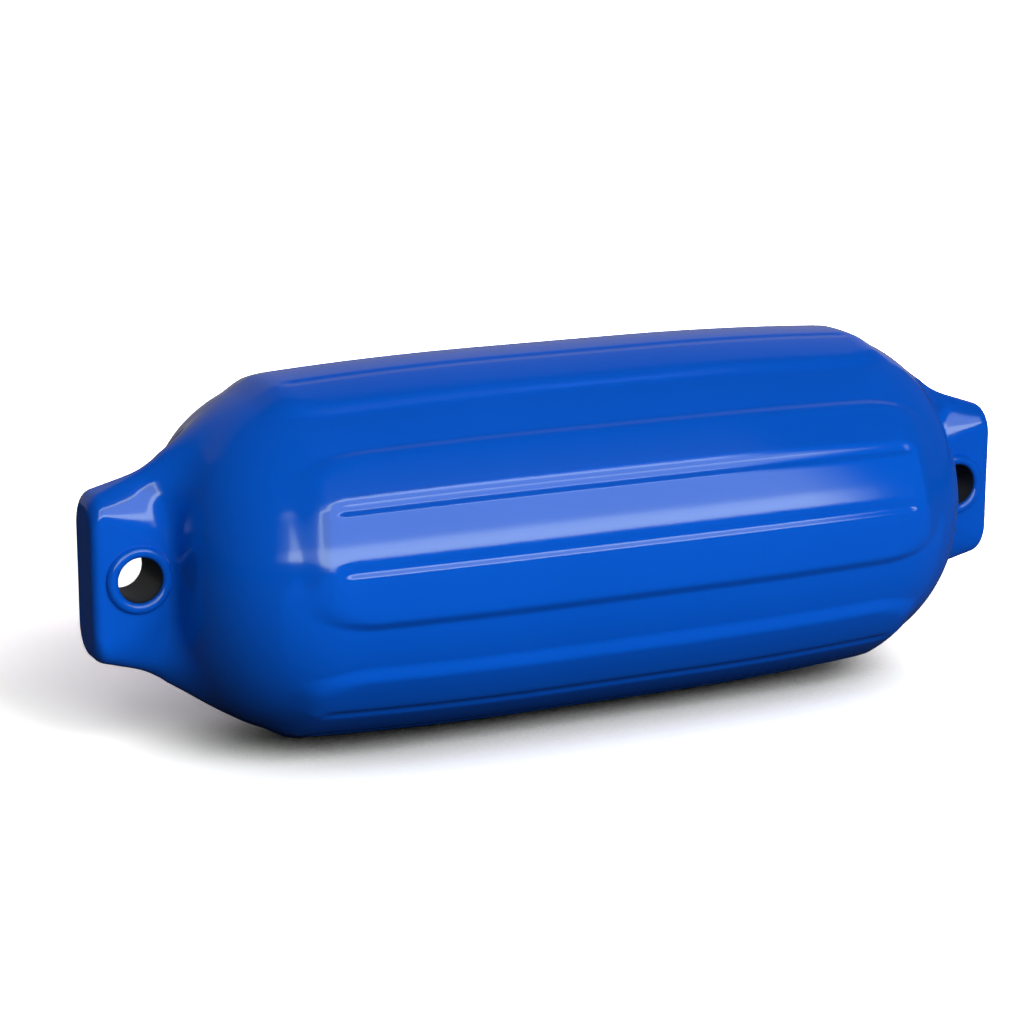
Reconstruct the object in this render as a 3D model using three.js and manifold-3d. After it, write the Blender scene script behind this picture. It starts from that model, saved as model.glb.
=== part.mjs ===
// Twin-eye inflatable boat fender.
// One moulded vinyl bag: a slightly barrelled body with four raised lengthwise panels, a full dome
// at each end, and a flat rope-eye tab standing out of each dome. A rubber valve plugs its one port.
// Millimetres, +Z up. The long axis lies along X and the tabs stand upright.
// The origin is on the ground, under the middle of the part.

import * as THREE from 'three';
import { mergeVertices } from 'three/addons/utils/BufferGeometryUtils.js';
import Module from 'manifold-3d';

// Body, measured from the long axis and from the middle of the length
const CREST_RADIUS = 140; // axis to the panel crests, along the straight middle
const STRAIGHT_HALF = 55; // half length of the straight middle
const BODY_HALF_LENGTH = 231; // half length between the domes
const CREST_FALL = 5.2; // how much lower the crests are where the domes start
const BARREL_POWER = 2.1; // how late the crests start to fall

// Raised panels
const PANEL_COUNT = 4;
const PANEL_TURN = 17.2; // first panel's middle above the level of the axis, degrees
const PANEL_SPAN = 50.4; // width of a panel's top around the axis, degrees
const PANEL_HALF_LENGTH = 243; // the panels run a little way onto the domes
const PANEL_HEIGHT = 4.5; // crest above the valleys between the panels
const PANEL_CORNER = 18; // corner radius of a panel's outline
const PANEL_EDGE = 10; // width of the slope along a panel's long edges
const PANEL_RAMP = 14; // length of the slope at a panel's ends

// Two shallow grooves split each panel into three flat facets
const GROOVE_TURN = 9.3; // groove from the panel's middle, degrees
const GROOVE_WIDTH = 12;
const GROOVE_DEPTH = 1.3;
const GROOVE_RUNOUT = 16; // length over which a groove fades before the panel's end

// Domes, as a curve from the end of the body to the nose
const DOME_RISE = 90;
const DOME_AXIAL_POWER = 1.6;
const DOME_RADIAL_POWER = 3.1;

// Rope-eye tabs
const TAB_REACH = 59; // nose of the dome to the end face of the tab
const TAB_THICKNESS = 44;
const TAB_EYE_HALF_HEIGHT = 71; // half height of the tab at the eye
const TAB_TAPER = 0.33; // half height lost for each millimetre outward
const TAB_CORNER = 9; // outer corners, seen from the side
const TAB_END_EDGE = 7; // rounding of the tab's end face
const TAB_EDGE_DEPTH = 16; // rounding of the upper and lower edges, across the tab
const TAB_EDGE_HEIGHT = 18; // the same rounding up the tab, at its outer corners
const TAB_CROWN_HEIGHT = 70; // and at its root, where the tab is crowned
const TAB_FACE_BLEND = 12; // reach of the blend between the tab's faces and the dome
const TAB_TOP_BLEND = 20; // reach of the blend between the tab's edges and the dome

// Rope eyes
const EYE_SETBACK = 34; // tab end face to the middle of the eye
const EYE_BORE = 32;
const EYE_LIP_WIDTH = 9; // rolled lip round each mouth of the bore, half as high as wide

// Inflation valve and its port, in a boss on the far side of one dome
const VALVE_STATION = 46; // start of the dome to the valve, along the axis
const VALVE_TURN = 152; // degrees around the axis, from the near side upward
const VALVE_HEAD = 24;
const VALVE_HEAD_THICKNESS = 3;
const VALVE_STEM = 12;
const VALVE_STEM_LENGTH = 16;
const VALVE_BARB = 1.2; // how far the retaining barb stands out of the stem
const VALVE_NEEDLE_HOLE = 3;
const VALVE_NEEDLE_DEPTH = 9;
const VALVE_CLEARANCE = 0.3;
const BOSS_WALL = 6; // boss material round the valve's head
const BOSS_HEIGHT = 3; // boss above the dome
const BOSS_DRAFT = 2; // how much wider the boss is at its foot

// Mesh fineness
const EYE_SEGMENTS = 36;
const LIP_STEPS = 5;
const VALVE_SEGMENTS = 28;
const TAB_CORNER_COLUMNS = 7;
const TAB_EDGE_COLUMNS = 3;
const SEARCH_STEPS = 30;
const COLUMN_TURN_SHARE = 0.6; // share of the dome over which the columns swing to the tab's own

const noseX = BODY_HALF_LENGTH + DOME_RISE;
const endX = noseX + TAB_REACH;
const eyeX = endX - EYE_SETBACK;
const pitch = 360 / PANEL_COUNT;
const { clamp, degToRad, lerp, smoothstep } = THREE.MathUtils;

function smoothMin(a, b, reach) {
  const overlap = Math.max(reach - Math.abs(a - b), 0) / reach;
  return Math.min(a, b) - overlap * overlap * reach / 4;
}

// Height lost along a quarter round that starts `distance` before its end
function quarterRound(distance, radius) {
  const run = clamp(distance, 0, radius);
  return radius - Math.sqrt(radius * radius - run * run);
}

function crestRadius(x) {
  const run = Math.max(Math.abs(x) - STRAIGHT_HALF, 0) / (BODY_HALF_LENGTH - STRAIGHT_HALF);
  return CREST_RADIUS - CREST_FALL * Math.min(run, 1) ** BARREL_POWER;
}

// How far along the dome x lies, from 0 at its start to 1 at its nose
function domeShare(x) {
  return Math.max((Math.abs(x) - BODY_HALF_LENGTH) / DOME_RISE, 0);
}

// Radius of the bag without its panels
function bagRadius(x) {
  const base = crestRadius(x) - PANEL_HEIGHT;
  const rise = Math.min(domeShare(x), 1);
  return base * (1 - rise ** DOME_AXIAL_POWER) ** (1 / DOME_RADIAL_POWER);
}

// Distance from the bag's surface, negative inside, by the slope of its implicit form
function bagDistance(x, radius) {
  const rise = domeShare(x);
  const base = crestRadius(x) - PANEL_HEIGHT;
  const share = radius / base;
  const value = rise ** DOME_AXIAL_POWER + share ** DOME_RADIAL_POWER - 1;
  const axialSlope = DOME_AXIAL_POWER * rise ** (DOME_AXIAL_POWER - 1) / DOME_RISE;
  const radialSlope = DOME_RADIAL_POWER * share ** (DOME_RADIAL_POWER - 1) / base;
  return value / Math.hypot(axialSlope, radialSlope);
}

function millimetresToDegrees(length) {
  return THREE.MathUtils.radToDeg(length / CREST_RADIUS);
}

// Columns of one pitch: how far each stands from the panel's middle, and what it belongs to
function panelColumns(x) {
  const cornerRun = Math.abs(x) - (PANEL_HALF_LENGTH - PANEL_CORNER);
  const inset = millimetresToDegrees(quarterRound(cornerRun, PANEL_CORNER));
  const top = PANEL_SPAN / 2 - inset;
  const foot = top + millimetresToDegrees(PANEL_EDGE);
  const inner = GROOVE_TURN - millimetresToDegrees(GROOVE_WIDTH / 2);
  const outer = GROOVE_TURN + millimetresToDegrees(GROOVE_WIDTH / 2);
  const middle = (outer + top) / 2;
  const valley = [1 / 3, 2 / 3].map((share) => lerp(foot, pitch - foot, share));
  return [
    { turn: -foot, kind: 'valley' },
    { turn: -top, kind: 'facet', from: -top, to: -outer },
    { turn: -middle, kind: 'facet', from: -top, to: -outer },
    { turn: -outer, kind: 'facet', from: -top, to: -outer },
    { turn: -GROOVE_TURN, kind: 'groove' },
    { turn: -inner, kind: 'facet', from: -inner, to: inner },
    { turn: -inner / 3, kind: 'facet', from: -inner, to: inner },
    { turn: inner / 3, kind: 'facet', from: -inner, to: inner },
    { turn: inner, kind: 'facet', from: -inner, to: inner },
    { turn: GROOVE_TURN, kind: 'groove' },
    { turn: outer, kind: 'facet', from: outer, to: top },
    { turn: middle, kind: 'facet', from: outer, to: top },
    { turn: top, kind: 'facet', from: outer, to: top },
    { turn: foot, kind: 'valley' },
    ...valley.map((turn) => ({ turn, kind: 'valley' })),
  ];
}

// A facet is flat: the straight line between two points of the crest circle
function facetRadius(column, crest) {
  const half = degToRad((column.to - column.from) / 2);
  const offset = degToRad(column.turn - (column.from + column.to) / 2);
  return crest * Math.cos(half) / Math.cos(offset);
}

// Height of a panel above the bag
function panelRise(column, x) {
  if (column.kind === 'valley') return 0;
  const crest = bagRadius(x) + PANEL_HEIGHT;
  const fade = smoothstep(Math.abs(x), PANEL_HALF_LENGTH, PANEL_HALF_LENGTH + PANEL_RAMP);
  const grooveFade = smoothstep(Math.abs(x), PANEL_HALF_LENGTH - GROOVE_RUNOUT, PANEL_HALF_LENGTH);
  const shape = column.kind === 'facet'
    ? facetRadius(column, crest)
    : crest - GROOVE_DEPTH * (1 - grooveFade);
  return (shape - bagRadius(x)) * (1 - fade);
}

// Half thickness and half height of the tab's section, and the size of its rounded edges
function tabSize(x) {
  const reach = Math.abs(x);
  const toEnd = reach - endX;
  const edge = quarterRound(toEnd + TAB_END_EDGE, TAB_END_EDGE);
  const corner = quarterRound(toEnd + TAB_CORNER, TAB_CORNER);
  const outward = smoothstep(reach, noseX, endX - TAB_CORNER);
  const halfThickness = TAB_THICKNESS / 2 - edge;
  const halfHeight = TAB_EYE_HALF_HEIGHT - TAB_TAPER * (reach - eyeX) - corner;
  return {
    halfThickness,
    halfHeight,
    deep: Math.min(lerp(TAB_THICKNESS / 2, TAB_EDGE_DEPTH, outward), halfThickness),
    tall: lerp(TAB_CROWN_HEIGHT, TAB_EDGE_HEIGHT, outward),
  };
}

// Distance from the tab's section at x, negative inside
function tabDistance(x, y, z) {
  const { halfThickness, halfHeight, deep, tall } = tabSize(x);
  const across = (Math.abs(y) - halfThickness + deep) / deep;
  const up = (Math.abs(z) - halfHeight + tall) / tall;
  if (across <= 0 && up <= 0) return Math.max(Math.abs(y) - halfThickness, Math.abs(z) - halfHeight);
  const a = Math.max(across, 0);
  const b = Math.max(up, 0);
  const share = Math.hypot(a, b);
  return (share - 1) * share / Math.hypot(a / deep, b / tall);
}

// Radius of the skin without its panels: dome and tab in one surface, found by halving
function skinRadius(x, turn) {
  if (Math.abs(x) <= BODY_HALF_LENGTH) return bagRadius(x);
  const across = Math.cos(degToRad(turn));
  const up = Math.sin(degToRad(turn));
  let inside = 0;
  let outside = CREST_RADIUS;
  for (let step = 0; step < SEARCH_STEPS; step += 1) {
    const radius = (inside + outside) / 2;
    const height = Math.abs(radius * up);
    const onEdge = smoothstep(height, EYE_BORE, TAB_EYE_HALF_HEIGHT);
    const reach = lerp(TAB_FACE_BLEND, TAB_TOP_BLEND, onEdge) * Math.min(domeShare(x), 1);
    const tab = tabDistance(x, radius * across, height);
    if (smoothMin(bagDistance(x, radius), tab, reach) < 0) inside = radius;
    else outside = radius;
  }
  return inside;
}

// Turns at which the tab's section is sampled: close together round its four corners
function tabTurns(count) {
  const { halfThickness, halfHeight, deep, tall } = tabSize(eyeX);
  const cornerStart = THREE.MathUtils.radToDeg(Math.atan2(halfHeight - tall, halfThickness));
  const cornerEnd = THREE.MathUtils.radToDeg(Math.atan2(halfHeight, halfThickness - deep));
  const faceColumns = count / 2 - 2 * TAB_CORNER_COLUMNS - TAB_EDGE_COLUMNS;
  const turns = [];
  const spread = (from, to, steps) => {
    for (let step = 0; step < steps; step += 1) turns.push(lerp(from, to, step / steps));
  };
  for (const side of [0, 180]) {
    spread(side - cornerStart, side + cornerStart, faceColumns);
    spread(side + cornerStart, side + cornerEnd, TAB_CORNER_COLUMNS);
    spread(side + cornerEnd, side + 180 - cornerEnd, TAB_EDGE_COLUMNS);
    spread(side + 180 - cornerEnd, side + 180 - cornerStart, TAB_CORNER_COLUMNS);
  }
  return turns;
}

// The bag's section at x, as one ring of points
function bagSection(x) {
  const columns = [];
  for (let panel = 0; panel < PANEL_COUNT; panel += 1) {
    for (const column of panelColumns(x)) {
      columns.push({ ...column, world: PANEL_TURN + panel * pitch + column.turn });
    }
  }
  const turns = tabTurns(columns.length);
  const first = turns.findIndex((turn) => turn >= PANEL_TURN - PANEL_SPAN / 2);
  const rampEnd = PANEL_HALF_LENGTH + PANEL_RAMP;
  const onTab = smoothstep(Math.abs(x), rampEnd, lerp(rampEnd, noseX, COLUMN_TURN_SHARE));
  return columns.map((column, index) => {
    const place = first + index;
    const tabTurn = turns[place % turns.length] + 360 * Math.floor(place / turns.length);
    const turn = lerp(column.world, tabTurn, onTab);
    const radius = skinRadius(x, turn) + panelRise(column, x);
    const angle = degToRad(turn);
    return new THREE.Vector3(x, -radius * Math.cos(angle), radius * Math.sin(angle));
  });
}

// Places along one half at which the section is taken
function halfStations() {
  const cornerStart = PANEL_HALF_LENGTH - PANEL_CORNER;
  const rampEnd = PANEL_HALF_LENGTH + PANEL_RAMP;
  const shares = (from, to, list) => list.map((share) => lerp(from, to, share));
  const round = (radius, steps) => {
    const turns = Array.from({ length: steps }, (_, step) => Math.PI / 2 * step / steps);
    return turns.map((turn) => endX - radius * (1 - Math.sin(turn)));
  };
  const stations = [
    ...shares(STRAIGHT_HALF, cornerStart, [0, 0.3, 0.55, 0.78]),
    ...shares(cornerStart, PANEL_HALF_LENGTH, [0, 0.35, 0.65, 0.85]),
    ...shares(PANEL_HALF_LENGTH, rampEnd, [0, 0.35, 0.65]),
    ...shares(rampEnd, noseX, [0, 0.15, 0.3, 0.45, 0.58, 0.7, 0.8, 0.88, 0.94, 0.98]),
    ...shares(noseX, noseX + TAB_FACE_BLEND, [0, 0.15, 0.4, 0.8]),
    ...shares(noseX + TAB_FACE_BLEND, endX - TAB_CORNER, [0.4]),
    ...round(TAB_CORNER, 3),
    ...round(TAB_END_EDGE, 4),
    endX,
  ];
  return [...new Set(stations)].sort((a, b) => a - b);
}

// Skins a row of rings and closes both ends with a fan on the axis
function loft(rings) {
  const count = rings[0].length;
  const positions = rings.flat().flatMap((point) => point.toArray());
  const indices = [];
  for (let ring = 0; ring + 1 < rings.length; ring += 1) {
    for (let column = 0; column < count; column += 1) {
      const a = ring * count + column;
      const b = ring * count + (column + 1) % count;
      indices.push(a, a + count, b, b, a + count, b + count);
    }
  }
  const startCentre = rings.length * count;
  positions.push(rings[0][0].x, 0, 0, rings[rings.length - 1][0].x, 0, 0);
  for (let column = 0; column < count; column += 1) {
    const next = (column + 1) % count;
    const last = (rings.length - 1) * count;
    indices.push(startCentre, column, next);
    indices.push(startCentre + 1, last + next, last + column);
  }
  const geometry = new THREE.BufferGeometry();
  geometry.setAttribute('position', new THREE.Float32BufferAttribute(positions, 3));
  geometry.setIndex(indices);
  return geometry;
}

const wasm = await Module();
wasm.setup();

function toSolid(source) {
  const geometry = source.clone();
  geometry.deleteAttribute('normal');
  geometry.deleteAttribute('uv');
  const merged = mergeVertices(geometry);
  return new wasm.Manifold(new wasm.Mesh({
    numProp: 3,
    vertProperties: new Float32Array(merged.attributes.position.array),
    triVerts: new Uint32Array(merged.index.array),
  }));
}

function toGeometry(solid) {
  const mesh = solid.getMesh();
  const geometry = new THREE.BufferGeometry();
  geometry.setAttribute('position', new THREE.Float32BufferAttribute(mesh.vertProperties, 3));
  geometry.setIndex(Array.from(mesh.triVerts));
  return geometry;
}

// Solid of revolution about Y from an outline of [radius, height] pairs
function turned(outline, segments) {
  const points = outline.map(([radius, height]) => new THREE.Vector2(radius, height));
  return new THREE.LatheGeometry(points, segments);
}

// Sleeve of the rope eye: the bore's wall with a rolled lip at each mouth
function eyeSleeve() {
  const lip = EYE_LIP_WIDTH / 2;
  const middle = EYE_BORE / 2 + lip;
  const face = TAB_THICKNESS / 2;
  const outline = [];
  for (let step = 0; step <= LIP_STEPS; step += 1) {
    const angle = Math.PI * step / LIP_STEPS;
    outline.push([middle + lip * Math.cos(angle), face + lip * Math.sin(angle)]);
  }
  for (let step = 0; step <= LIP_STEPS; step += 1) {
    const angle = Math.PI * (1 + step / LIP_STEPS);
    outline.push([middle + lip * Math.cos(angle), -face + lip * Math.sin(angle)]);
  }
  outline.push(outline[0]);
  return turned(outline, EYE_SEGMENTS);
}

function eyeClearing() {
  const radius = (EYE_BORE + EYE_LIP_WIDTH) / 2;
  return new THREE.CylinderGeometry(radius, radius, TAB_THICKNESS * 2, EYE_SEGMENTS);
}

// The valve stands square to the dome: a frame whose Y axis is the dome's outward normal
function valveFrame() {
  const x = BODY_HALF_LENGTH + VALVE_STATION;
  const slope = bagRadius(x + 0.5) - bagRadius(x - 0.5);
  const angle = degToRad(VALVE_TURN);
  const outward = new THREE.Vector3(0, -Math.cos(angle), Math.sin(angle));
  const normal = outward.clone().addScaledVector(new THREE.Vector3(1, 0, 0), -slope).normalize();
  const place = outward.multiplyScalar(bagRadius(x)).setX(x);
  place.addScaledVector(normal, BOSS_HEIGHT);
  const turn = new THREE.Quaternion().setFromUnitVectors(new THREE.Vector3(0, 1, 0), normal);
  return new THREE.Matrix4().compose(place, turn, new THREE.Vector3(1, 1, 1));
}

function valveBoss() {
  const top = VALVE_HEAD / 2 + BOSS_WALL;
  const foot = top + BOSS_DRAFT;
  const depth = BOSS_HEIGHT * 4;
  const outline = [[0, -depth], [foot, -depth], [foot, -BOSS_HEIGHT * 0.7], [top, 0], [0, 0]];
  return turned(outline, VALVE_SEGMENTS);
}

// Outline of the valve, grown by `gap` all round for the port that it sits in
function valveOutline(gap) {
  const head = VALVE_HEAD / 2 + gap;
  const stem = VALVE_STEM / 2 + gap;
  const barb = stem + VALVE_BARB;
  const under = -VALVE_HEAD_THICKNESS - gap;
  const bottom = -VALVE_HEAD_THICKNESS - VALVE_STEM_LENGTH - gap;
  const barbHeight = VALVE_BARB * 3;
  return [
    [0, bottom],
    [stem - VALVE_BARB, bottom],
    [barb, bottom + barbHeight],
    [stem, bottom + barbHeight + VALVE_BARB],
    [stem, under],
    [head, under],
  ];
}

function valvePort() {
  const outline = valveOutline(VALVE_CLEARANCE);
  const head = outline[outline.length - 1][0];
  return turned([...outline, [head, BOSS_HEIGHT], [0, BOSS_HEIGHT]], VALVE_SEGMENTS);
}

function valvePlug() {
  const chamfer = VALVE_CLEARANCE * 2;
  const head = VALVE_HEAD / 2;
  const hole = VALVE_NEEDLE_HOLE / 2;
  return turned([
    ...valveOutline(0),
    [head, -chamfer],
    [head - chamfer, 0],
    [hole * 2, 0],
    [hole, -hole],
    [0, -VALVE_NEEDLE_DEPTH],
  ], VALVE_SEGMENTS);
}

function fenderBody() {
  const half = halfStations();
  const stations = [...half.map((x) => -x).reverse(), ...half];
  let body = toSolid(loft(stations.map(bagSection)));
  for (const side of [-1, 1]) {
    const atEye = new THREE.Matrix4().makeTranslation(side * eyeX, 0, 0);
    body = body.subtract(toSolid(eyeClearing().applyMatrix4(atEye)));
    body = body.add(toSolid(eyeSleeve().applyMatrix4(atEye)));
  }
  body = body.add(toSolid(valveBoss().applyMatrix4(valveFrame())));
  body = body.subtract(toSolid(valvePort().applyMatrix4(valveFrame())));
  return toGeometry(body);
}

const blueVinyl = new THREE.MeshStandardMaterial({ color: 0x0d57c4, roughness: 0.16, metalness: 0 });
const blackRubber = new THREE.MeshStandardMaterial({ color: 0x17181a, roughness: 0.6, metalness: 0 });

const body = new THREE.Mesh(fenderBody(), blueVinyl);
body.name = 'fender_body';

const valveGeometry = toGeometry(toSolid(valvePlug()));
const valve = new THREE.Mesh(valveGeometry.applyMatrix4(valveFrame()), blackRubber);
valve.name = 'inflation_valve';

// The fender lies on the flat facet that points down
body.geometry.computeBoundingBox();
const axisHeight = -body.geometry.boundingBox.min.z;

const fender = new THREE.Group();
fender.add(body, valve);
fender.position.z = axisHeight;

export default fender;
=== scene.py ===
"""Looks of a twin-eye inflatable boat fender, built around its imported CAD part."""

import math

import bpy
import numpy as np
from mathutils import Matrix, Vector


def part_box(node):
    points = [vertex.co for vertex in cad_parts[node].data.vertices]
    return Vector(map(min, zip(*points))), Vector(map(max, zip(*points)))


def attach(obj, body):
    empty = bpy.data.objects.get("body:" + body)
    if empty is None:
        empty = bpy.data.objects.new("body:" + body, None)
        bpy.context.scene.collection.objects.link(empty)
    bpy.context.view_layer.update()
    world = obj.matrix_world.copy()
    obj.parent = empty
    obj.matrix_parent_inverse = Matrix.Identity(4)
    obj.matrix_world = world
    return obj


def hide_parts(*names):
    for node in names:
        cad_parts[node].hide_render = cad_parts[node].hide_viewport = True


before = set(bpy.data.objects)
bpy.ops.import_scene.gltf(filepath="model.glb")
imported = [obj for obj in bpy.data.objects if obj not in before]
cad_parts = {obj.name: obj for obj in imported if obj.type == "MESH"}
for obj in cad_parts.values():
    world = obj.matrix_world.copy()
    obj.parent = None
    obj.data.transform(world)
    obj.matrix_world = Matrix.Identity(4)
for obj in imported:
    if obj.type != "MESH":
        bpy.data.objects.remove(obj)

MM = 0.001

# Sizes of the part, in millimetres and degrees, as in the part's source
CREST_RADIUS = 140
STRAIGHT_HALF = 55
BODY_HALF_LENGTH = 231
CREST_FALL = 5.2
BARREL_POWER = 2.1
PANEL_TURN = 17.2
PANEL_SPAN = 50.4
PANEL_HALF_LENGTH = 243
PANEL_HEIGHT = 4.5
PANEL_CORNER = 18
PANEL_RAMP = 14
GROOVE_TURN = 9.3
GROOVE_DEPTH = 1.3
GROOVE_RUNOUT = 16
DOME_RISE = 90
DOME_AXIAL_POWER = 1.6
DOME_RADIAL_POWER = 3.1
TAB_REACH = 59
TAB_HALF_THICKNESS = 22
TAB_EYE_HALF_HEIGHT = 71
TAB_TAPER = 0.33
TAB_CORNER = 9
TAB_END_EDGE = 7
TAB_EDGE_DEPTH = 16
TAB_EDGE_HEIGHT = 18
EYE_SETBACK = 34
BORE_RADIUS = 16
LIP_RADIUS = 4.5
VALVE_STATION = 46
VALVE_TURN = 152
VALVE_HEAD_RADIUS = 12
VALVE_CLEARANCE = 0.3
BOSS_WALL = 6
BOSS_HEIGHT = 3

# Forms that only the looks have. The photograph shows five panels, where the part's source has four,
# with softer slopes round them and a rounder crown where each tab meets its dome
SKIN_INSET = 0.35
PANEL_COUNT = 5
PANEL_PITCH = 360 / PANEL_COUNT
PANEL_SLOPE = 11.5
PANEL_SLOPE_INSIDE = 1
PANEL_END_SLOPE = 24
FACET_FLATNESS = 0.45
GROOVE_HALF_WIDTH = 6.6
TAB_ROOT_HALF_THICKNESS = 27
TAB_FLARE_LENGTH = 30
TAB_CROWN_HEIGHT = 76
TAB_CROWN_POWER = 0.75
TAB_ROOT_POWER = 1.35
TAB_FACE_BLEND = 11
TAB_TOP_BLEND = 32
LIP_INSET = 0.1
LIP_FOOT_ANGLE = -30
COLLAR_DEPTH = 9
STEM_RADIUS = 5.9

# Fineness of the skin's grid. Columns stand close where the density is high
COLUMNS_A_PANEL = 60
COLUMNS_A_QUADRANT = COLUMNS_A_PANEL * PANEL_COUNT // 4
FINE_STEPS = 3600
PLAIN_DENSITY = 0.5
FEATURE_DENSITY = 2.0
FEATURE_REACH = 2.9
BEND_WEIGHT = 9
SEARCH_STEPS = 26
FIRST_STATION = 4
BEFORE_PANEL_END = 37
PAST_PANEL_END = 19
BEFORE_ROOT = 5
PAST_ROOT = 15
END_RINGS = 20
EYE_SEGMENTS = 96
VALVE_SEGMENTS = 84

NOSE_X = BODY_HALF_LENGTH + DOME_RISE
END_X = NOSE_X + TAB_REACH
EYE_X = END_X - EYE_SETBACK

low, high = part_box("fender_body")
AXIS_HEIGHT = (low.z + high.z) / 2 / MM
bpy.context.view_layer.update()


# Form of the bag

def smoothstep(value, start, end):
    share = np.clip((value - start) / (end - start), 0, 1)
    return share * share * (3 - 2 * share)


def smooth_min(a, b, reach):
    overlap = np.maximum(reach - np.abs(a - b), 0) / reach
    return np.minimum(a, b) - overlap ** 2 * reach / 4


def lerp(start, end, share):
    return start + (end - start) * share


def quarter_round(distance, radius):
    run = np.clip(distance, 0, radius)
    return radius - np.sqrt(radius ** 2 - run ** 2)


def crest_radius(x):
    run = np.maximum(np.abs(x) - STRAIGHT_HALF, 0) / (BODY_HALF_LENGTH - STRAIGHT_HALF)
    return CREST_RADIUS - CREST_FALL * np.minimum(run, 1) ** BARREL_POWER


def dome_share(x):
    return max((abs(x) - BODY_HALF_LENGTH) / DOME_RISE, 0)


def bag_radius(x):
    base = crest_radius(x) - PANEL_HEIGHT
    return base * (1 - min(dome_share(x), 1) ** DOME_AXIAL_POWER) ** (1 / DOME_RADIAL_POWER)


def bag_distance(x, radius):
    """Distance from the bag without panels, negative inside."""
    rise, base = dome_share(x), crest_radius(x) - PANEL_HEIGHT
    share = radius / base
    value = rise ** DOME_AXIAL_POWER + share ** DOME_RADIAL_POWER - 1
    axial_slope = DOME_AXIAL_POWER * rise ** (DOME_AXIAL_POWER - 1) / DOME_RISE
    radial_slope = DOME_RADIAL_POWER * share ** (DOME_RADIAL_POWER - 1) / base
    return value / np.hypot(axial_slope, radial_slope)


def to_millimetres(turn):
    return np.radians(turn) * CREST_RADIUS


def sagitta(turn, start, end):
    """Depth of the straight chord from start to end under the crest circle, at turn."""
    half, offset = np.radians((end - start) / 2), np.radians(turn - (start + end) / 2)
    depth = CREST_RADIUS * (1 - math.cos(half) / np.cos(offset))
    return np.where((turn > start) & (turn < end), np.maximum(depth, 0), 0)


def panel_rise(x, turn):
    """Height of the raised panels above the plain bag."""
    offset = np.abs((turn - PANEL_TURN + PANEL_PITCH / 2) % PANEL_PITCH - PANEL_PITCH / 2)
    across = to_millimetres(offset)
    beyond_x = (np.abs(x) - PANEL_HALF_LENGTH) * PANEL_SLOPE / PANEL_END_SLOPE + PANEL_CORNER
    beyond_s = across - to_millimetres(PANEL_SPAN / 2) + PANEL_CORNER
    outside = np.hypot(np.maximum(beyond_x, 0), np.maximum(beyond_s, 0))
    distance = outside + np.minimum(np.maximum(beyond_x, beyond_s), 0) - PANEL_CORNER
    raised = 1 - smoothstep(distance, -PANEL_SLOPE_INSIDE, PANEL_SLOPE - PANEL_SLOPE_INSIDE)
    chord = sagitta(offset, -GROOVE_TURN, GROOVE_TURN) + sagitta(offset, GROOVE_TURN, PANEL_SPAN / 2)
    runout = 1 - smoothstep(np.abs(x), PANEL_HALF_LENGTH - GROOVE_RUNOUT, PANEL_HALF_LENGTH)
    share = np.clip((across - to_millimetres(GROOVE_TURN)) / GROOVE_HALF_WIDTH, -1, 1)
    groove = GROOVE_DEPTH * (1 + np.cos(np.pi * share)) / 2 * runout
    return raised * (PANEL_HEIGHT - FACET_FLATNESS * chord - groove)


def tab_distance(x, y, z):
    """Distance from the tab's section at x, negative inside."""
    reach = abs(x)
    near_root = np.clip((NOSE_X + TAB_FLARE_LENGTH / 2 - reach) / TAB_FLARE_LENGTH, 0, 1)
    flare = (TAB_ROOT_HALF_THICKNESS - TAB_HALF_THICKNESS) * near_root ** 2
    half_thickness = TAB_HALF_THICKNESS + flare - quarter_round(reach - END_X + TAB_END_EDGE, TAB_END_EDGE)
    corner = quarter_round(reach - END_X + TAB_CORNER, TAB_CORNER)
    half_height = TAB_EYE_HALF_HEIGHT - TAB_TAPER * (reach - EYE_X) - corner
    outward = np.clip((reach - NOSE_X) / (TAB_REACH - TAB_CORNER), 0, 1) ** TAB_CROWN_POWER
    deep = min(lerp(TAB_ROOT_HALF_THICKNESS, TAB_EDGE_DEPTH, outward), half_thickness)
    tall = lerp(TAB_CROWN_HEIGHT, TAB_EDGE_HEIGHT, outward)
    across = (np.abs(y) - half_thickness + deep) / deep
    up = (z - half_height + tall) / tall
    a, b = np.maximum(across, 0), np.maximum(up, 0)
    power = lerp(TAB_ROOT_POWER, 2, outward)
    share = np.sqrt(a ** 2 + b ** power)
    rounded = (share - 1) * share / np.maximum(np.hypot(a / deep, b / tall), 1e-9)
    flat = np.maximum(np.abs(y) - half_thickness, z - half_height)
    return np.where((across <= 0) & (up <= 0), flat, rounded)


def skin_radius(x, turn):
    """Radius of the skin without its panels: dome and tab in one surface, found by halving."""
    if abs(x) <= BODY_HALF_LENGTH:
        return np.full_like(turn, bag_radius(x))
    across, up = np.cos(np.radians(turn)), np.abs(np.sin(np.radians(turn)))
    inside, outside = np.zeros_like(turn), np.full_like(turn, CREST_RADIUS)
    for _ in range(SEARCH_STEPS):
        radius = (inside + outside) / 2
        height = radius * up
        on_edge = smoothstep(height, 2 * BORE_RADIUS, TAB_EYE_HALF_HEIGHT)
        blend = lerp(TAB_FACE_BLEND, TAB_TOP_BLEND, on_edge) * min(dome_share(x), 1)
        covered = smooth_min(bag_distance(x, radius), tab_distance(x, radius * across, height), blend) < 0
        inside, outside = np.where(covered, radius, inside), np.where(covered, outside, radius)
    return inside


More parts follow.
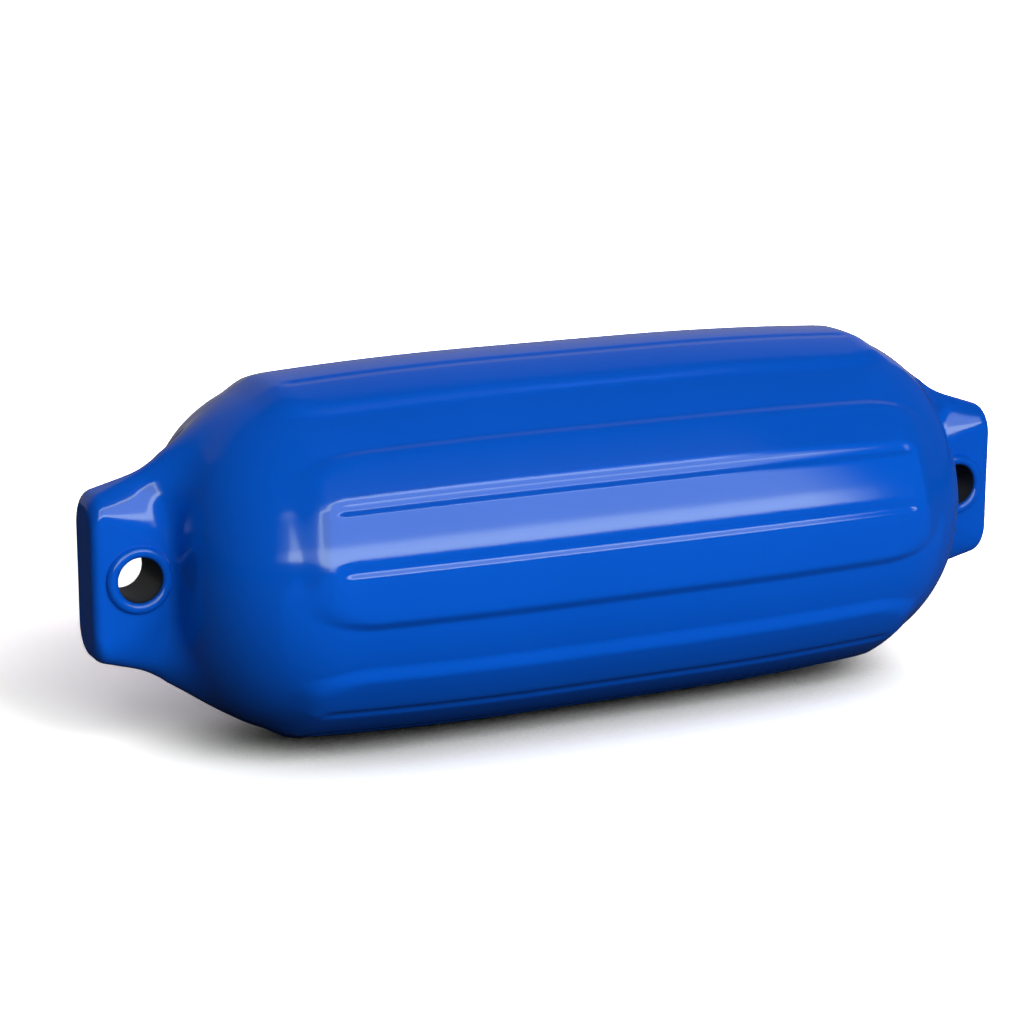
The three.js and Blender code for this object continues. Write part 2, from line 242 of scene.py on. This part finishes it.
def body_turns():
    """Turns of the columns round the body: close together at the panels' edges and grooves."""
    fine = np.linspace(0, PANEL_PITCH, FINE_STEPS + 1)
    edge = PANEL_SPAN / 2 + math.degrees(PANEL_SLOPE / 2 / CREST_RADIUS)
    density = np.full_like(fine, PLAIN_DENSITY)
    for feature in (-edge, -GROOVE_TURN, GROOVE_TURN, edge):
        offset = (fine - PANEL_TURN - feature + PANEL_PITCH / 2) % PANEL_PITCH - PANEL_PITCH / 2
        density += FEATURE_DENSITY * np.exp(-(offset / FEATURE_REACH) ** 4)
    total = np.concatenate([[0], np.cumsum(density[:-1])])
    one = np.interp(np.arange(COLUMNS_A_PANEL) / COLUMNS_A_PANEL * total[-1], total, fine)
    return np.concatenate([one + panel * PANEL_PITCH for panel in range(PANEL_COUNT)])


def tab_turns():
    """Turns of the columns round the tab: even along its outline, closer round the edges."""
    turn = np.linspace(0, 90, FINE_STEPS // 4 + 1)
    radius = skin_radius(EYE_X, turn)
    across, up = radius * np.cos(np.radians(turn)), radius * np.sin(np.radians(turn))
    bend = np.abs(np.diff(np.unwrap(np.arctan2(np.diff(up), np.diff(across))), append=0)[:-1])
    step = np.hypot(np.diff(across), np.diff(up)) + np.append(bend, 0) * BEND_WEIGHT
    along = np.concatenate([[0], np.cumsum(step)])
    rising = np.interp(np.arange(COLUMNS_A_QUADRANT) / COLUMNS_A_QUADRANT * along[-1], along, turn)
    falling = 90 - np.append(rising, 90)[:0:-1]
    return np.concatenate([rising, 90 + falling, 180 + rising, 270 + falling])


def half_stations():
    """Places of the rings along half the length: close at the panels' ends and round the tab."""
    slope_start, slope_end = PANEL_HALF_LENGTH - BEFORE_PANEL_END, PANEL_HALF_LENGTH + PAST_PANEL_END
    root_start, root_end = NOSE_X - BEFORE_ROOT, NOSE_X + PAST_ROOT
    corner_start = END_X - TAB_CORNER
    stretches = (
        (FIRST_STATION, slope_start, 24), (slope_start, slope_end, 40), (slope_end, root_start, 26),
        (root_start, root_end, 20), (root_end, corner_start, 14),
    )
    corner = corner_start + TAB_CORNER * np.sin(np.linspace(0, np.pi / 2, END_RINGS))
    along = [np.linspace(start, end, rings) for start, end, rings in stretches]
    return np.unique(np.round(np.concatenate([*along, corner]), 4))


def skin_rings():
    """Rings of points from tab to tab. The columns turn from the body's spacing to the tab's."""
    half = half_stations()
    stations = np.concatenate([-half[::-1], half])
    body, tab = body_turns(), tab_turns()
    rings = []
    for x in stations:
        on_tab = float(smoothstep(abs(x), PANEL_HALF_LENGTH + PANEL_RAMP, NOSE_X - TAB_TOP_BLEND))
        turn = lerp(body, tab, on_tab)
        radius = skin_radius(x, turn) + panel_rise(x, turn) - SKIN_INSET
        angle = np.radians(turn)
        place = np.full_like(radius, x * (END_X - SKIN_INSET) / END_X)
        rings.append(np.stack([place, -radius * np.cos(angle), radius * np.sin(angle)], -1))
    return np.array(rings)


# Mesh building

def make_object(name, vertices, faces, material, smooth=True):
    mesh = bpy.data.meshes.new(name)
    mesh.from_pydata([tuple(v) for v in vertices], [], faces)
    mesh.polygons.foreach_set("use_smooth", [smooth] * len(mesh.polygons))
    mesh.materials.append(material)
    mesh.update()
    made = bpy.data.objects.new(name, mesh)
    bpy.context.scene.collection.objects.link(made)
    return made


def grid_faces(rows, columns):
    """Faces between closed rings that follow each other in the list of points."""
    faces = []
    for row in range(rows - 1):
        for column in range(columns):
            a = row * columns + column
            b = row * columns + (column + 1) % columns
            faces.append((a, a + columns, b + columns, b))
    return faces


def lathe(outline, segments):
    """Solid of revolution about Y from [radius, height] pairs, as vertices and faces."""
    turn = np.linspace(0, 2 * np.pi, segments, endpoint=False)
    outline = np.array(outline, float)
    vertices = np.stack([
        outline[:, :1] * np.cos(turn), np.repeat(outline[:, 1:], segments, 1), outline[:, :1] * np.sin(turn),
    ], -1).reshape(-1, 3)
    return vertices, grid_faces(len(outline), segments)


def arc(centre, radius, start, end, steps):
    turn = np.radians(np.linspace(start, end, steps))
    return [(centre[0] + radius * math.cos(t), centre[1] + radius * math.sin(t)) for t in turn]


def eye_sleeve(side):
    """Bore wall of a rope eye with the rolled lip at each mouth."""
    middle = (BORE_RADIUS + LIP_RADIUS, TAB_HALF_THICKNESS - SKIN_INSET)
    lip = arc(middle, LIP_RADIUS - LIP_INSET, LIP_FOOT_ANGLE, 180, 22)
    depth = TAB_HALF_THICKNESS - 3
    wall = [(BORE_RADIUS + LIP_INSET, height) for height in np.linspace(depth, -depth, 9)]
    outline = lip + wall + [(radius, -height) for radius, height in lip[::-1]]
    vertices, faces = lathe(outline, EYE_SEGMENTS)
    return vertices + [side * EYE_X, 0, 0], faces


def valve_frame():
    """Matrix whose Y axis stands square to the dome where the valve sits."""
    x = BODY_HALF_LENGTH + VALVE_STATION
    slope = float(bag_radius(x + 0.5) - bag_radius(x - 0.5))
    angle = math.radians(VALVE_TURN)
    outward = Vector((0, -math.cos(angle), math.sin(angle)))
    normal = (outward - slope * Vector((1, 0, 0))).normalized()
    place = outward * float(bag_radius(x)) + Vector((x, 0, 0)) + normal * BOSS_HEIGHT
    turn = Vector((0, 1, 0)).rotation_difference(normal)
    return Matrix.Translation(place) @ turn.to_matrix().to_4x4()


def placed(vertices, matrix):
    m = np.array(matrix)
    return vertices @ m[:3, :3].T + m[:3, 3]


def boss():
    """Moulded collar round the valve, with a soft top edge and a sloping foot."""
    top = VALVE_HEAD_RADIUS + BOSS_WALL
    inner = VALVE_HEAD_RADIUS + VALVE_CLEARANCE
    ledge, stem = -3.3, STEM_RADIUS + 0.4
    outline = [(top + 6.5, -7.5), (top + 4.2, -5.0), (top + 2.4, -3.2), (top + 1.4, -1.9), (top + 0.6, -0.8)]
    outline += arc((top - 0.9, -1.0), 1.0, 20, 90, 5)
    outline += arc((inner + 0.6, -0.6), 0.6, 90, 180, 4)
    outline += [(inner, ledge), (stem, ledge), (stem, -COLLAR_DEPTH)]
    return lathe(outline, VALVE_SEGMENTS)


def valve_plug():
    """Rubber plug: dished head with a rim, and a countersunk needle hole."""
    head = VALVE_HEAD_RADIUS
    outline = [(STEM_RADIUS, -14), (STEM_RADIUS, -3.1), (head - 0.3, -3.0), (head, -2.6)]
    outline += arc((head - 0.7, -0.7), 0.7, 0, 90, 5)
    outline += [(head - 2.1, 0.0), (head - 2.6, -0.35), (head - 3.0, -0.6), (5.0, -0.6), (4.5, -0.3)]
    outline += [(4.1, -0.05), (3.4, 0.0), (2.8, -0.15), (1.6, -1.3), (1.3, -2.2), (0.9, -8)]
    return lathe(outline, VALVE_SEGMENTS)


# Materials

def surface_group():
    """Shared moulded-surface effect: a slow tone mask, a fine mask and a bump height."""
    group = bpy.data.node_groups.new("moulded_surface", "ShaderNodeTree")
    for name, kind, way in (
        ("Fine Scale", "NodeSocketFloat", "INPUT"), ("Slow", "NodeSocketFloat", "OUTPUT"),
        ("Fine", "NodeSocketFloat", "OUTPUT"), ("Height", "NodeSocketFloat", "OUTPUT"),
    ):
        group.interface.new_socket(name, in_out=way, socket_type=kind)
    nodes, links = group.nodes, group.links
    source, sink = nodes.new("NodeGroupInput"), nodes.new("NodeGroupOutput")
    place = nodes.new("ShaderNodeTexCoord")
    slow, fine, wave = (nodes.new("ShaderNodeTexNoise") for _ in range(3))
    slow.inputs["Scale"].default_value = 7
    slow.inputs["Detail"].default_value = 3
    wave.inputs["Scale"].default_value = 22
    wave.inputs["Detail"].default_value = 1
    fine.inputs["Detail"].default_value = 4
    join = nodes.new("ShaderNodeMath")
    join.operation = "MULTIPLY_ADD"
    join.inputs[1].default_value = 9
    for node in (slow, fine, wave):
        links.new(place.outputs["Object"], node.inputs["Vector"])
    links.new(source.outputs["Fine Scale"], fine.inputs["Scale"])
    links.new(wave.outputs["Fac"], join.inputs[0])
    links.new(fine.outputs["Fac"], join.inputs[2])
    links.new(slow.outputs["Fac"], sink.inputs["Slow"])
    links.new(fine.outputs["Fac"], sink.inputs["Fine"])
    links.new(join.outputs[0], sink.inputs["Height"])
    return group


SURFACE = surface_group()

# Painted shade of the rope eyes' bore walls: near-black colour and duller vinyl where the bores lie in deep
# shade
BORE_PAINTED_SHADE = (0.006, 0.008, 0.016, 1)
BORE_ROUGHNESS = 0.5


def paint_bore_shade(material):
    """Paints shade on the walls of the rope eyes: a dark, dull tone by distance from the eyes' axes,
    standing in for the deep shade inside the bores.
    """
    nodes, links = material.node_tree.nodes, material.node_tree.links
    shader = nodes["Principled BSDF"]

    def maths(operation, *values):
        node = nodes.new("ShaderNodeMath")
        node.operation = operation
        for socket, value in zip(node.inputs, values):
            if isinstance(value, (int, float)):
                socket.default_value = value
            else:
                links.new(value, socket)
        return node.outputs[0]

    place, split = nodes.new("ShaderNodeTexCoord"), nodes.new("ShaderNodeSeparateXYZ")
    links.new(place.outputs["Object"], split.inputs["Vector"])
    along = maths("SUBTRACT", maths("ABSOLUTE", split.outputs["X"]), EYE_X * MM)
    up = maths("SUBTRACT", split.outputs["Z"], AXIS_HEIGHT * MM)
    away = maths("SQRT", maths("ADD", maths("MULTIPLY", along, along), maths("MULTIPLY", up, up)))
    # Mask of the painted bore shade: 1 on the bore walls, 0 outside them
    mask = nodes.new("ShaderNodeMapRange")
    mask.interpolation_type = "SMOOTHSTEP"
    mask.inputs["From Min"].default_value = (BORE_RADIUS + 1.3) * MM
    mask.inputs["From Max"].default_value = (BORE_RADIUS + 0.3) * MM
    links.new(away, mask.inputs["Value"])
    for name, kind, data_type, dark in (
        ("Base Color", "Color", "RGBA", BORE_PAINTED_SHADE), ("Roughness", "Float", "FLOAT", BORE_ROUGHNESS),
    ):
        source = shader.inputs[name].links[0].from_socket
        mix = nodes.new("ShaderNodeMix")
        mix.data_type = data_type
        sockets = {socket.identifier: socket for socket in mix.inputs}
        links.new(mask.outputs["Result"], sockets["Factor_Float"])
        links.new(source, sockets["A_" + kind])
        sockets["B_" + kind].default_value = dark
        outputs = {socket.identifier: socket for socket in mix.outputs}
        links.new(outputs["Result_" + kind], shader.inputs[name])


def moulded(name, tones, roughness, fine_scale, bump, specular):
    """Moulded material: colour between two tones, roughness between two values, fine bump."""
    material = bpy.data.materials.new(name)
    material.use_nodes = True
    nodes, links = material.node_tree.nodes, material.node_tree.links
    shader = nodes["Principled BSDF"]
    surface = nodes.new("ShaderNodeGroup")
    surface.node_tree = SURFACE
    surface.inputs["Fine Scale"].default_value = fine_scale
    ramp = nodes.new("ShaderNodeValToRGB")
    ramp.color_ramp.elements[0].position = 0.3
    ramp.color_ramp.elements[1].position = 0.7
    for element, tone in zip(ramp.color_ramp.elements, tones):
        element.color = (*tone, 1)
    spread = nodes.new("ShaderNodeMapRange")
    spread.inputs["From Min"].default_value = 0.3
    spread.inputs["From Max"].default_value = 0.7
    spread.inputs["To Min"].default_value = roughness[0]
    spread.inputs["To Max"].default_value = roughness[1]
    relief = nodes.new("ShaderNodeBump")
    relief.inputs["Strength"].default_value = bump
    relief.inputs["Distance"].default_value = 0.0002
    links.new(surface.outputs["Slow"], ramp.inputs["Fac"])
    links.new(ramp.outputs["Color"], shader.inputs["Base Color"])
    links.new(surface.outputs["Fine"], spread.inputs["Value"])
    links.new(spread.outputs["Result"], shader.inputs["Roughness"])
    links.new(surface.outputs["Height"], relief.inputs["Height"])
    links.new(relief.outputs["Normal"], shader.inputs["Normal"])
    shader.inputs["Specular IOR Level"].default_value = specular
    return material


VINYL = moulded(
    "blue_vinyl", tones=((0.0004, 0.072, 0.50), (0.0008, 0.077, 0.53)), roughness=(0.08, 0.12),
    fine_scale=900, bump=0.05, specular=0.5,
)
# The bore walls of the vinyl get painted shade
paint_bore_shade(VINYL)
RUBBER = moulded(
    "black_rubber", tones=((0.010, 0.010, 0.011), (0.018, 0.018, 0.019)), roughness=(0.5, 0.66),
    fine_scale=1600, bump=0.5, specular=0.4,
)


# Pieces

def close_end(vertices, first, columns, turned_over):
    """Closes a flat end face with smaller and smaller rings that end on the axis."""
    ring = vertices[first:first + columns]
    centre = np.array([ring[0, 0], 0, 0])
    start = len(vertices)
    inner_rings = [centre + (ring - centre) * share for share in (0.75, 0.5, 0.25)]
    vertices = np.concatenate([vertices, *inner_rings, [centre]])
    loops = [list(range(first, first + columns))]
    loops += [list(range(start + i * columns, start + (i + 1) * columns)) for i in range(len(inner_rings))]
    last = len(vertices) - 1
    faces = []
    for outer, inner in zip(loops, loops[1:]):
        faces += [(outer[i - 1], inner[i - 1], inner[i], outer[i]) for i in range(columns)]
    faces += [(loops[-1][i - 1], last, loops[-1][i]) for i in range(columns)]
    return vertices, [face[::-1] for face in faces] if turned_over else faces


def build_skin():
    """The bag in one mesh: skin, end faces, rope eyes and the valve's collar."""
    rings = skin_rings()
    count, columns = rings.shape[:2]
    vertices = rings.reshape(-1, 3)
    faces = grid_faces(count, columns)
    frame_of_valve = np.array(valve_frame())
    to_eye = np.hypot(np.abs(vertices[:, 0]) - EYE_X, vertices[:, 2])
    from_valve = vertices - frame_of_valve[:3, 3]
    along = from_valve @ frame_of_valve[:3, 1]
    to_valve = np.linalg.norm(from_valve - along[:, None] * frame_of_valve[:3, 1], axis=1)
    eye_opening = to_eye < BORE_RADIUS + LIP_RADIUS + 0.4
    near_valve = to_valve < VALVE_HEAD_RADIUS + BOSS_WALL / 2
    valve_opening = near_valve & (along > -2 * VALVE_HEAD_RADIUS - BOSS_WALL)
    opened = eye_opening | valve_opening
    faces = [face for face in faces if not all(opened[i] for i in face)]
    for first, turned_over in ((0, True), ((count - 1) * columns, False)):
        vertices, end_faces = close_end(vertices, first, columns, turned_over)
        faces += end_faces
    parts = [eye_sleeve(-1), eye_sleeve(1)]
    collar, collar_faces = boss()
    parts.append((placed(collar, valve_frame()), collar_faces))
    for more, more_faces in parts:
        start = len(vertices)
        vertices = np.concatenate([vertices, more])
        faces += [tuple(i + start for i in face) for face in more_faces]
    return (vertices + [0, 0, AXIS_HEIGHT]) * MM, faces


def add_piece(name, vertices, faces, material, node, slot_name):
    made = make_object(name, vertices, faces, material)
    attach(made, "root")
    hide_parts(node)
    return made


add_piece("vinyl_bag", *build_skin(), VINYL, "fender_body", "blue_vinyl")
plug, plug_faces = valve_plug()
plug = (placed(plug, valve_frame()) + [0, 0, AXIS_HEIGHT]) * MM
add_piece("valve_plug", plug, plug_faces, RUBBER, "inflation_valve", "black_rubber")


# Stage

EVEN = [(0, 1), (1, 1)]


def emitter(
    name, centre, right, up, peak, across=EVEN, upward=EVEN, most=None, tint=(1, 1, 1), mirrored=True,
):
    """Card of light. `across` and `upward` give (share of its width or height, strength) stops."""
    centre, right, up = Vector(centre), Vector(right), Vector(up)
    corners = [centre + right * a + up * b for a, b in ((-0.5, -0.5), (0.5, -0.5), (0.5, 0.5), (-0.5, 0.5))]
    material = bpy.data.materials.new(name)
    material.use_nodes = True
    nodes, links = material.node_tree.nodes, material.node_tree.links
    nodes.clear()
    place = nodes.new("ShaderNodeUVMap")
    split = nodes.new("ShaderNodeSeparateXYZ")
    glow = nodes.new("ShaderNodeEmission")
    sink = nodes.new("ShaderNodeOutputMaterial")
    product, scaled, capped = (nodes.new("ShaderNodeMath") for _ in range(3))
    product.operation = scaled.operation = "MULTIPLY"
    capped.operation = "MINIMUM"
    links.new(place.outputs["UV"], split.inputs["Vector"])
    for socket, axis, stops in ((0, "X", across), (1, "Y", upward)):
        ramp = nodes.new("ShaderNodeValToRGB")
        elements = ramp.color_ramp.elements
        while len(elements) < len(stops):
            elements.new(0.5)
        for element, (share, value) in zip(elements, stops):
            element.position = share
            element.color = (value, value, value, 1)
        links.new(split.outputs[axis], ramp.inputs["Fac"])
        links.new(ramp.outputs["Color"], product.inputs[socket])
    scaled.inputs[1].default_value = peak
    capped.inputs[1].default_value = most or peak
    links.new(product.outputs[0], scaled.inputs[0])
    links.new(scaled.outputs[0], capped.inputs[0])
    glow.inputs["Color"].default_value = (*tint, 1)
    links.new(capped.outputs[0], glow.inputs["Strength"])
    links.new(glow.outputs["Emission"], sink.inputs["Surface"])
    card = make_object(name, corners, [(0, 1, 2, 3)], material, smooth=False)
    layer = card.data.uv_layers.new(name="UVMap")
    for loop, uv in zip(layer.data, ((0, 0), (1, 0), (1, 1), (0, 1))):
        loop.uv = uv
    card.visible_camera = False
    card.visible_shadow = False
    card.visible_glossy = mirrored


# The floor, in metres. It glows to white between the two fade radii
FLOOR_HALF = 14
FLOOR_BELOW = 0.0002
FADE_START = 0.46
FADE_END = 1.6
FLOOR_SEEN = 2.05
FLOOR_BOUNCE = 0.04


def build_floor():
    """Pale floor with a soft contact shadow painted into its colour from ambient occlusion. It fades to the
    white background away from the object.
    """
    material = bpy.data.materials.new("pale_floor")
    material.use_nodes = True
    nodes, links = material.node_tree.nodes, material.node_tree.links
    nodes.clear()
    matte, glow = nodes.new("ShaderNodeBsdfDiffuse"), nodes.new("ShaderNodeEmission")
    # Painted contact shadow: ambient occlusion darkens the floor's colour near the object
    near = nodes.new("ShaderNodeAmbientOcclusion")
    near.samples = 8
    near.inputs["Distance"].default_value = 0.26
    depth, shaded = nodes.new("ShaderNodeMath"), nodes.new("ShaderNodeMath")
    depth.operation, shaded.operation = "POWER", "MULTIPLY"
    depth.inputs[1].default_value = 0.75
    add, sink = nodes.new("ShaderNodeAddShader"), nodes.new("ShaderNodeOutputMaterial")
    path = nodes.new("ShaderNodeLightPath")
    tone = nodes.new("ShaderNodeMapRange")
    tone.inputs["To Min"].default_value = FLOOR_BOUNCE
    tone.inputs["To Max"].default_value = FLOOR_SEEN
    place = nodes.new("ShaderNodeTexCoord")
    length = nodes.new("ShaderNodeVectorMath")
    length.operation = "LENGTH"
    fade = nodes.new("ShaderNodeMapRange")
    fade.interpolation_type = "SMOOTHSTEP"
    fade.inputs["From Min"].default_value = FADE_START
    fade.inputs["From Max"].default_value = FADE_END
    seen = nodes.new("ShaderNodeMath")
    seen.operation = "MULTIPLY"
    links.new(path.outputs["Is Camera Ray"], tone.inputs["Value"])
    links.new(near.outputs["AO"], depth.inputs[0])
    tint = nodes.new("ShaderNodeVectorMath")
    tint.operation = "SCALE"
    tint.inputs[0].default_value = (1.03, 0.97, 1.02)
    links.new(tone.outputs["Result"], shaded.inputs[0])
    links.new(depth.outputs[0], shaded.inputs[1])
    links.new(shaded.outputs[0], tint.inputs["Scale"])
    links.new(tint.outputs[0], matte.inputs["Color"])
    links.new(place.outputs["Object"], length.inputs[0])
    links.new(length.outputs["Value"], fade.inputs["Value"])
    links.new(fade.outputs["Result"], seen.inputs[0])
    links.new(path.outputs["Is Camera Ray"], seen.inputs[1])
    links.new(seen.outputs["Value"], glow.inputs["Strength"])
    links.new(matte.outputs["BSDF"], add.inputs[0])
    links.new(glow.outputs["Emission"], add.inputs[1])
    links.new(add.outputs["Shader"], sink.inputs["Surface"])
    corners = [
        (a * FLOOR_HALF, b * FLOOR_HALF, -FLOOR_BELOW) for a, b in ((-1, -1), (1, -1), (1, 1), (-1, 1))
    ]
    make_object("floor", corners, [(0, 1, 2, 3)], material, smooth=False)


def build_world():
    """Dim room that the object sees, and a white background that only the camera sees."""
    world = bpy.data.worlds.new("studio")
    world.use_nodes = True
    nodes, links = world.node_tree.nodes, world.node_tree.links
    nodes.clear()
    path = nodes.new("ShaderNodeLightPath")
    room, white = nodes.new("ShaderNodeBackground"), nodes.new("ShaderNodeBackground")
    room.inputs["Color"].default_value = (0.95, 0.98, 1.0, 1)
    room.inputs["Strength"].default_value = 0.04
    pick, sink = nodes.new("ShaderNodeMixShader"), nodes.new("ShaderNodeOutputWorld")
    links.new(path.outputs["Is Camera Ray"], pick.inputs["Fac"])
    links.new(room.outputs["Background"], pick.inputs[1])
    links.new(white.outputs["Background"], pick.inputs[2])
    links.new(pick.outputs["Shader"], sink.inputs["Surface"])
    white.inputs["Color"].default_value = (1, 1, 1, 1)
    bpy.context.scene.world = world


def build_lights():
    """A bright-edged box of light in front that shows in the vinyl, and softer lights all round."""
    emitter(
        "softbox", centre=(-0.2, -1.5, 1.015), right=(3.4, 0, 0), up=(0, 0, 1.23), peak=16.25, most=6.5,
        across=[
            (0, 0), (0.15, 0.12), (0.206, 0.8), (0.229, 0.8), (0.27, 0.4), (0.888, 0.4), (0.95, 0), (1, 0),
        ],
        upward=[(0, 1), (0.15, 1), (0.17, 0.4), (0.84, 0.4), (0.86, 1), (1, 1)], tint=(0.87, 1.0, 0.87),
    )
    emitter(
        "softbox_glow", centre=(0.5, -1.25, 2.0), right=(1.8, 0, 0), up=(0, 0.5, 0.7), peak=1.0,
        upward=[(0, 0.25), (1, 0)],
    )
    emitter(
        "back_card", centre=(0.2, 1.85, 1.1), right=(-4.8, 0, 0), up=(0, -1.1, 2.2), peak=0.28,
        upward=[(0, 1), (0.6, 1), (1, 0.35)], tint=(1, 0.95, 0.92),
    )
    emitter(
        "front_fill", centre=(0.6, -2.1, 1.5), right=(2.0, 0, 0), up=(0, 0.5, 1.6), peak=7.5, mirrored=False,
    )
    emitter(
        "top_fill", centre=(0.7, -0.2, 2.4), right=(2.0, 0, 0), up=(0, 1.4, 0), peak=0.5, mirrored=False,
    )
    emitter(
        "back_fill", centre=(1.0, 1.8, 1.3), right=(-1.8, 0.9, 0), up=(-0.2, -0.4, 1.6), peak=2.6,
        mirrored=False,
    )


build_floor()
build_world()
build_lights()


# Camera

# Place and lens of the camera, fitted to the photograph: degrees, metres and pixels
CAMERA_AZIMUTH = -26
CAMERA_ELEVATION = 13.7222
CAMERA_ROLL = 0.1163
CAMERA_DISTANCE = 2.1248
TARGET_ALONG = -0.0433
TARGET_ABOVE_AXIS = 0.0127
FOCAL_LENGTH = 2805.27
IMAGE_WIDTH = 1024
SENSOR_WIDTH = 36


def build_camera():
    azimuth, elevation = math.radians(CAMERA_AZIMUTH), math.radians(CAMERA_ELEVATION)
    target = Vector((TARGET_ALONG, 0, AXIS_HEIGHT * MM + TARGET_ABOVE_AXIS))
    level = Vector((math.sin(azimuth), -math.cos(azimuth), 0))
    back = level * math.cos(elevation) + Vector((0, 0, math.sin(elevation)))
    roll = Matrix.Rotation(math.radians(CAMERA_ROLL), 4, "Z").to_quaternion()
    data = bpy.data.cameras.new("camera")
    data.sensor_width = SENSOR_WIDTH
    data.lens = FOCAL_LENGTH / IMAGE_WIDTH * SENSOR_WIDTH
    made = bpy.data.objects.new("camera", data)
    bpy.context.scene.collection.objects.link(made)
    made.rotation_mode = "QUATERNION"
    made.location = target + back * CAMERA_DISTANCE
    made.rotation_quaternion = (-back).to_track_quat("-Z", "Y") @ roll
    bpy.context.scene.camera = made


build_camera()
bpy.context.scene.view_settings.view_transform = "Standard"
